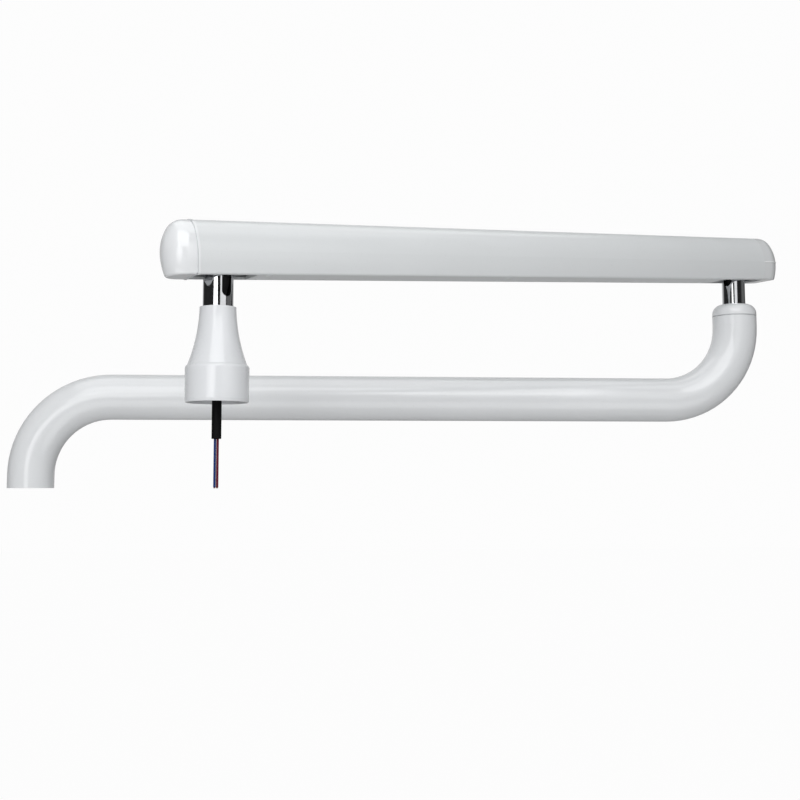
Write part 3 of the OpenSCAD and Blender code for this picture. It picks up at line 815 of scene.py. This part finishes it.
@dataclass(frozen=True)
class LampCord:
    """The free cable below the bell: a black sheath and two bare-ended wires."""

    sheath_radius: float = 3.5 * MM
    wire_radius: float = 0.9 * MM
    wire_side: float = 0.95 * MM
    sheath_sides: int = 32
    wire_sides: int = 20
    sheath_rim: float = 0.4 * MM
    wire_rim: float = 0.15 * MM
    strand_ring: float = 0.42 * MM
    strand_rise: float = 0.2 * MM
    strand_sides: int = 8
    strand_radius: float = 0.2 * MM
    strand_length: float = 1.6 * MM

    def ends(self) -> tuple[Vector, Vector, Vector]:
        """Reads where the cable's stretches start and end.

        Returns:
            Top of the sheath, its cut end, and the wires' ends.
        """
        low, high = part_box("sheath")
        centre = (low + high) / 2
        wire_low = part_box("blue_wire")[0].z
        return (
            Vector((centre.x, centre.y, high.z)),
            Vector((centre.x, centre.y, low.z)),
            Vector((centre.x, centre.y, wire_low)),
        )

    def sheath(self) -> bpy.types.Object:
        """Returns:
            The sheath.
        """
        top, cut, _ = self.ends()
        route = straight_route(top, cut)
        hose = Hose("cable_sheath", route, self.sheath_radius, self.sheath_sides, self.sheath_rim)
        piece = hose.make()
        finish_piece(piece, BLACK_SHEATH, "lamp_swivel", ("sheath",))
        return piece

    def wire(
        self, name: str, node: str, side: float, finish: Finish, slot: str
    ) -> bpy.types.Object:
        """One insulated wire.

        Args:
            name: Its name.
            node: The CAD node that it replaces.
            side: Its place across the sheath's end.
            finish: Its look.
            slot: Not used.

        Returns:
            The wire.
        """
        _, cut, end = self.ends()
        shift = Vector((side, 0.0, 0.0))
        route = straight_route(cut + shift, end + shift)
        piece = Hose(name, route, self.wire_radius, self.wire_sides, self.wire_rim).make()
        finish_piece(piece, finish, "lamp_swivel", (node,))
        strands = self.strands(f"{name}_strands", end + shift)
        return piece

    def strands(self, name: str, end: Vector) -> bpy.types.Object:
        """Seven copper strands that stand out of a wire's cut end.

        Args:
            name: Their name.
            end: Middle of the cut end.

        Returns:
            The strands as one piece.
        """
        tree = GeoTree(name)
        strand = tree.node(
            "GeometryNodeMeshCylinder",
            Vertices=tree.size("Strand sides", self.strand_sides),
            Radius=tree.size("Strand radius", self.strand_radius),
            Depth=tree.size("Strand length", self.strand_length),
        )
        lay = tree.node("GeometryNodeInstanceOnPoints", Points=tree.source.outputs[0],
                        Instance=strand.outputs["Mesh"])
        middle = end + Vector((0, 0, self.strand_rise))
        ring = [
            end + Vector((
                self.strand_ring * math.cos(a), self.strand_ring * math.sin(a), self.strand_rise
            ))
            for a in (math.radians(60 * k) for k in range(6))
        ]
        start = points_mesh(name, [middle, *ring])
        piece = tree.build(lay.outputs[0], COPPER, start)
        return finish_piece(piece, COPPER, "lamp_swivel")

    def make(self) -> None:
        """Makes the sheath and both wires."""
        self.sheath()
        self.wire("blue_core", "blue_wire", -self.wire_side, BLUE_CORE, "blue_insulation")
        self.wire("red_core", "red_wire", self.wire_side, RED_CORE, "red_insulation")


@dataclass(frozen=True)
class HeldLeads:
    """The cable inside the arm, one length in each moving body.

    Sizes without MM are in millimetres along the arm's or the tube's own lines.
    """

    radius: float = 3.5 * MM
    bend: float = 68.0
    spigot: float = 12.0
    drop: float = 12.0
    reach: float = 640.0
    riser: float = 148.0
    mouth_arc: tuple[float, float, int] = (178.0, 90.0, 24)
    riser_arc: tuple[float, float, int] = (270.0, 310.0, 14)
    arm_side: float = 8.9
    arm_up: float = -9.0
    arm_from: float = 32.0
    arm_to: float = 488.0
    elbow_points: tuple = (
        (3, 0.4, -38), (3.1, 0.5, -28), (4.3, 0.7, -22.5), (6.3, 1, -17.5), (9.5, 3.5, -13.5),
        (14, 7, -11),
    )
    lamp_points: tuple = (
        (0, 0, -70), (-0.7, 3.4, -50), (-0.8, 3.6, -38), (-1.1, 5, -31), (-1.6, 7, -25),
        (-1.8, 7.8, -19), (-4, 8.6, -13.5), (-10, 8.9, -9.5), (-17, 8.9, -8.5),
    )

    @staticmethod
    def arc(x: float, z: float, radius: float, sweep: tuple[float, float, int]) -> Route:
        """Points on an upright arc.

        Args:
            x: Its middle, along the tube.
            z: Its middle's height.
            radius: Its radius.
            sweep: First and last angle in degrees, and the steps between them.

        Returns:
            The points, in millimetres.
        """
        first, last, steps = sweep
        angles = (math.radians(first + (last - first) * k / steps) for k in range(steps + 1))
        return [Vector((x + radius * math.cos(a), 0, z + radius * math.sin(a))) for a in angles]

    def tube_route(self) -> Route:
        """Finds the cable's way through the bent tube.

        Returns:
            Points from the tube's mouth to the top of its riser.
        """
        rise = self.arc(self.bend, self.spigot, self.bend - self.drop, self.mouth_arc)
        turn = self.arc(
            self.reach - self.bend, self.riser, self.bend + self.drop, self.riser_arc
        )
        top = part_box("tube_lead")[1].z / MM
        end = [Vector((self.reach - 5, 0, self.riser - 38)), Vector((self.reach - 1, 0, top))]
        return [p * MM for p in (*rise, *turn, *end)]

    def make(self) -> None:
        """Makes each length and hands it to its body."""
        low_elbow = (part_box("elbow_lead")[0].z - ARM.elbow.z) / MM
        low_lamp = (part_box("lamp_lead")[0].z - ARM.lamp.z) / MM
        elbow = [(0, 0, low_elbow), (0, 0, low_elbow + 14), *self.elbow_points]
        lamp = [(0, 0, low_lamp), (0, 0, low_lamp + 10), *self.lamp_points]
        start, end = (
            ARM.in_arm(along, self.arm_side, self.arm_up) for along in (self.arm_from, self.arm_to)
        )
        for name, route, body in (
            ("tube_cable", self.tube_route(), "lower_arm"),
            ("elbow_cable", smooth_route([ARM.in_head(ARM.elbow, *p) for p in elbow], 8),
             "elbow_head"),
            ("arm_cable", straight_route(start, end, 5), "upper_arm"),
            ("lamp_cable", smooth_route([ARM.in_head(ARM.lamp, *p) for p in lamp], 8),
             "lamp_head"),
        ):
            piece = Hose(name, route, self.radius).make()
            node = name.replace("cable", "lead")
            finish_piece(piece, BLACK_SHEATH, body, (node,))


@dataclass(frozen=True)
class CaseFittings:
    """The screws under the case and the balance spring inside it.

    Sizes without MM are in millimetres along, beside and above the arm's line.
    """

    screw_side: float = 9.0
    screw_stations: tuple[float, ...] = (35.0, 268.0, 485.0)
    head_radius: float = 2.7 * MM
    head_height: float = 1.6 * MM
    head_sides: int = 32
    shank_radius: float = 1.45 * MM
    shank_length: float = 5.2 * MM
    shank_lift: float = 3.9 * MM
    shank_sides: int = 24
    socket_radius: float = 1.0 * MM
    socket_depth: float = 1.8 * MM
    below: float = -20.5
    spring_side: float = -6.5
    spring_up: float = -8.5
    spring_radius: float = 6.6 * MM
    spring_wire: float = 1.3 * MM
    spring_from: float = 62.9
    spring_to: float = 260.7
    spring_turns: float = 24.0
    turn_steps: int = 32
    spring_sides: int = 10

    def screws(self) -> bpy.types.Object:
        """Makes six countersunk socket screws with a Geometry Nodes tree.

        Returns:
            The screws as one piece.
        """
        tree = GeoTree("countersunk_screws")
        head = tree.node(
            "GeometryNodeMeshCone", Vertices=tree.size("Head sides", self.head_sides),
            Radius_Top=tree.size("Shank radius", self.shank_radius),
            Radius_Bottom=tree.size("Head radius", self.head_radius),
            Depth=tree.size("Head height", self.head_height),
        )
        shank = tree.node(
            "GeometryNodeMeshCylinder", Vertices=self.shank_sides,
            Radius=self.shank_radius, Depth=tree.size("Shank length", self.shank_length),
        )
        lifted = tree.node(
            "GeometryNodeTransform", Geometry=shank.outputs["Mesh"],
            Translation=(0.0, 0.0, self.shank_lift),
        )
        socket = tree.node(
            "GeometryNodeMeshCylinder", Vertices=6,
            Radius=tree.size("Socket radius", self.socket_radius),
            Depth=tree.size("Socket depth", self.socket_depth),
        )
        whole = tree.node("GeometryNodeMeshBoolean", {"operation": "UNION"})
        tree.join(whole, 1, head.outputs["Mesh"])
        tree.join(whole, 1, lifted.outputs[0])
        cut = tree.node("GeometryNodeMeshBoolean", {"operation": "DIFFERENCE"})
        tree.join(cut, 0, whole.outputs["Mesh"])
        tree.join(cut, 1, socket.outputs["Mesh"])
        turn = tree.node("FunctionNodeInputVector")
        turn.vector = ARM.angles
        spread = tree.node(
            "GeometryNodeInstanceOnPoints", Points=tree.source.outputs[0],
            Instance=cut.outputs["Mesh"], Rotation=turn.outputs[0],
        )
        places = [
            ARM.in_arm(s, side * self.screw_side, self.below)
            for s in self.screw_stations for side in (-1, 1)
        ]
        piece = tree.build(spread.outputs[0], SPRING_STEEL, points_mesh("screw_places", places))
        return finish_piece(piece, SPRING_STEEL, "upper_arm", ("case_screws",))

    def spring(self) -> bpy.types.Object:
        """Draws the coil spring with a Geometry Nodes tree.

        Returns:
            The spring.
        """
        tree = GeoTree("coil_spring")
        radius = tree.size("Coil radius", self.spring_radius)
        coil = tree.node(
            "GeometryNodeCurveSpiral", Resolution=tree.size("Steps a turn", self.turn_steps),
            Rotations=tree.size("Turns", self.spring_turns), Start_Radius=radius,
            End_Radius=radius,
            Height=tree.size("Length", (self.spring_to - self.spring_from) * MM),
        )
        wire = tree.node(
            "GeometryNodeCurvePrimitiveCircle",
            Resolution=tree.size("Wire sides", self.spring_sides),
            Radius=tree.size("Wire radius", self.spring_wire),
        )
        solid = tree.node(
            "GeometryNodeCurveToMesh", Curve=coil.outputs[0], Profile_Curve=wire.outputs[0],
            Fill_Caps=True,
        )
        start = ARM.in_arm(self.spring_from, self.spring_side, self.spring_up)
        laid = tree.node(
            "GeometryNodeTransform", Geometry=solid.outputs[0], Translation=tuple(start),
            Rotation=tuple(ARM.along.to_track_quat("Z", "Y").to_euler()),
        )
        piece = tree.build(laid.outputs[0], SPRING_STEEL, points_mesh("spring_place", []))
        for face in piece.data.polygons:
            face.use_smooth = True
        return finish_piece(piece, SPRING_STEEL, "upper_arm", ("balance_spring",))

    def make(self) -> None:
        """Makes the screws and the spring."""
        self.screws()
        self.spring()


@dataclass(frozen=True)
class DressedFrame:
    """The CAD nodes that stay, each with its own finish."""

    dress: dict = field(default_factory=lambda: DRESS)

    def make(self) -> None:
        """Gives every carried-over node its material."""
        for finish, nodes in self.dress.items():
            for node in nodes:
                piece = frame["nodes"][node]
                for slot in piece.material_slots:
                    slot.material = finish.material()
                LOG.info("%s wears %s", node, finish.name)


# ---- studio ----


@dataclass(frozen=True)
class Softbox:
    """One area lamp: its middle, what it is aimed at, its size, brightness, grid and tilt."""

    name: str
    place: tuple[float, float, float]
    aim: tuple[float, float, float]
    width: float
    height: float
    radiance: float
    spread: float = 180.0
    roll: float = 0.0

    def grid_gain(self) -> float:
        """How much brighter a grid of this spread makes the lamp straight ahead."""
        half = math.radians(self.spread) / 2
        return 1.0 if self.spread > 179.0 else math.tan(half) / (math.tan(half) - half)

    def make(self) -> bpy.types.Object:
        """Hangs the lamp in its place.

        Returns:
            The lamp's object.
        """
        data = bpy.data.lights.new(self.name, "AREA")
        data.shape = "RECTANGLE"
        data.size, data.size_y = self.width, self.height
        data.energy = self.radiance * math.pi * self.width * self.height / self.grid_gain()
        data.spread = math.radians(self.spread)
        lamp = bpy.data.objects.new(self.name, data)
        bpy.context.scene.collection.objects.link(lamp)
        lamp.location = self.place
        way = Vector(self.aim) - Vector(self.place)
        turn = way.to_track_quat("-Z", "Y") @ Quaternion((0.0, 0.0, 1.0), math.radians(self.roll))
        lamp.rotation_euler = turn.to_euler()
        lamp.visible_camera = False
        return lamp


@dataclass(frozen=True)
class Glow:
    """Light from one side of the surroundings: its direction, where it fades in, its strength."""

    axis: str
    low: float
    high: float
    strength: float
    flip: float = 1.0

    def light(self, bench: Bench, way: Signal) -> Signal:
        """The light that comes from a direction.

        Args:
            bench: The world's bench.
            way: The direction.

        Returns:
            The strength.
        """
        toward = bench.part(way, self.axis) * self.flip
        return toward.step(self.low, self.high) * self.strength


@dataclass(frozen=True)
class Studio:
    """Pale floor, white surroundings and soft light."""

    floor_level: float = -2.2
    floor_size: float = 80.0
    floor_white: float = 0.97
    sky_white: float = 0.98
    floor_grey: float = 0.8
    ambient: float = 0.1
    dark_mirror: float = 0.02
    rear_light: Glow = Glow("Y", 0.4, 0.9, 1.1)
    left_light: Glow = Glow("X", 0.5, 0.95, 0.75, flip=-1.0)
    rear_mirror: Glow = Glow("Y", 0.6, 1.0, 0.6)
    right_mirror: Glow = Glow("X", 0.8, 1.0, 0.12)
    boxes: tuple[Softbox, ...] = (
        Softbox("key_box", (-0.2, -1.25, 0.2), (0.1, -0.15, 0.1), 0.5, 0.6, 3.5, 60.0, -40.0),
        Softbox("side_box", (0.615, -0.81, 0.35), (0.0, -0.38, 0.3), 0.61, 0.45, 0.95),
        Softbox("high_box", (0.2, -1.7, 1.3), (0.25, -0.1, 0.1), 1.8, 1.4, 2.7),
        Softbox("top_box", (0.35, -0.2, 1.8), (0.35, -0.1, 0.1), 2.4, 1.6, 1.34),
        Softbox("low_box", (0.3, -1.2, -0.82), (0.3, -0.1, 0.1), 3.0, 0.9, 1.2),
    )

    def world(self) -> None:
        """White where it is seen, dark with two glows in mirrors, and soft light on the rest."""
        world = bpy.data.worlds.new("studio_world")
        bpy.context.scene.world = world
        world.use_nodes = True
        bench = Bench(world.node_tree)
        rays = {
            name: bench.add("ShaderNodeLightPath", {}, {}, name)
            for name in ("Is Camera Ray", "Is Transmission Ray", "Is Glossy Ray")
        }
        way = bench.add("ShaderNodeTexCoord", {}, {}, "Generated")
        back, wall, rear, left = (
            glow.light(bench, way)
            for glow in (self.rear_mirror, self.right_mirror, self.rear_light, self.left_light)
        )
        seen = rays["Is Camera Ray"].highest(rays["Is Transmission Ray"])
        mirrored = rays["Is Glossy Ray"]
        unseen = (
            mirrored * (back + wall + self.dark_mirror)
            + (1 - mirrored) * (rear + left + self.ambient)
        )
        strength = seen * self.sky_white + (1 - seen) * unseen
        light = bench.add(
            "ShaderNodeBackground", {}, {"Color": (1.0, 1.0, 1.0), "Strength": strength}
        )
        bench.add("ShaderNodeOutputWorld", {}, {"Surface": light})

    def floor(self) -> None:
        """A plain pale floor that keeps a faint shadow."""
        half = self.floor_size / 2
        mesh = bpy.data.meshes.new("studio_floor")
        corners = [(-half, -half), (half, -half), (half, half), (-half, half)]
        mesh.from_pydata([(x, y, self.floor_level) for x, y in corners], [], [(0, 1, 2, 3)])
        made = bpy.data.materials.new("pale_floor")
        made.use_nodes = True
        bench = Bench(made.node_tree)
        seen = bench.add("ShaderNodeLightPath", {}, {}, "Is Camera Ray")
        matt = bench.add("ShaderNodeBsdfDiffuse", {}, {"Color": (self.floor_grey,) * 3})
        white = bench.add("ShaderNodeEmission", {}, {"Color": (1.0, 1.0, 1.0), "Strength": 1.0})
        mixed = bench.add(
            "ShaderNodeMixShader", {}, {0: seen * self.floor_white, 1: matt, 2: white}
        )
        bench.add("ShaderNodeOutputMaterial", {}, {"Surface": mixed})
        mesh.materials.append(made)
        new_object("studio_floor", mesh)

    def make(self) -> None:
        """Sets up the surroundings, the floor and the lamps."""
        bpy.context.scene.view_settings.view_transform = "Standard"
        self.world()
        self.floor()
        for box in self.boxes:
            box.make()


@dataclass(frozen=True)
class ViewCamera:
    """The camera, slightly below the arm and looking a little up."""

    place: tuple[float, float, float] = (0.2094, -1.10135, 0.0039)
    pitch: float = 5.74
    yaw: float = -5.60
    roll: float = 0.08
    lens: float = 55.095
    shift_x: float = 0.01
    shift_y: float = -0.05
    sensor: float = 36.0

    def make(self) -> bpy.types.Object:
        """Sets up the scene's camera.

        Returns:
            The camera's object.
        """
        data = bpy.data.cameras.new("view_camera")
        data.sensor_width = self.sensor
        data.lens = self.lens
        data.shift_x, data.shift_y = self.shift_x, self.shift_y
        camera = bpy.data.objects.new("view_camera", data)
        bpy.context.scene.collection.objects.link(camera)
        camera.location = self.place
        camera.rotation_euler = (
            math.radians(90 + self.pitch), math.radians(self.roll), math.radians(self.yaw)
        )
        bpy.context.scene.camera = camera
        return camera


def clear_start() -> None:
    """Removes the start-up objects that aren't part of the frame."""
    for name in ("Cube", "Light", "Camera"):
        spare = bpy.data.objects.get(name)
        if spare is not None:
            bpy.data.objects.remove(spare)


def main() -> None:
    """Builds the camera, the cords, every sub-assembly and the studio in order."""
    logging.basicConfig(level=logging.INFO, format="%(name)s: %(message)s")
    clear_start()
    ViewCamera().make()
    LampCord().make()
    HeldLeads().make()
    CaseFittings().make()
    DressedFrame().make()
    Studio().make()


if __name__ == "__main__":
    main()
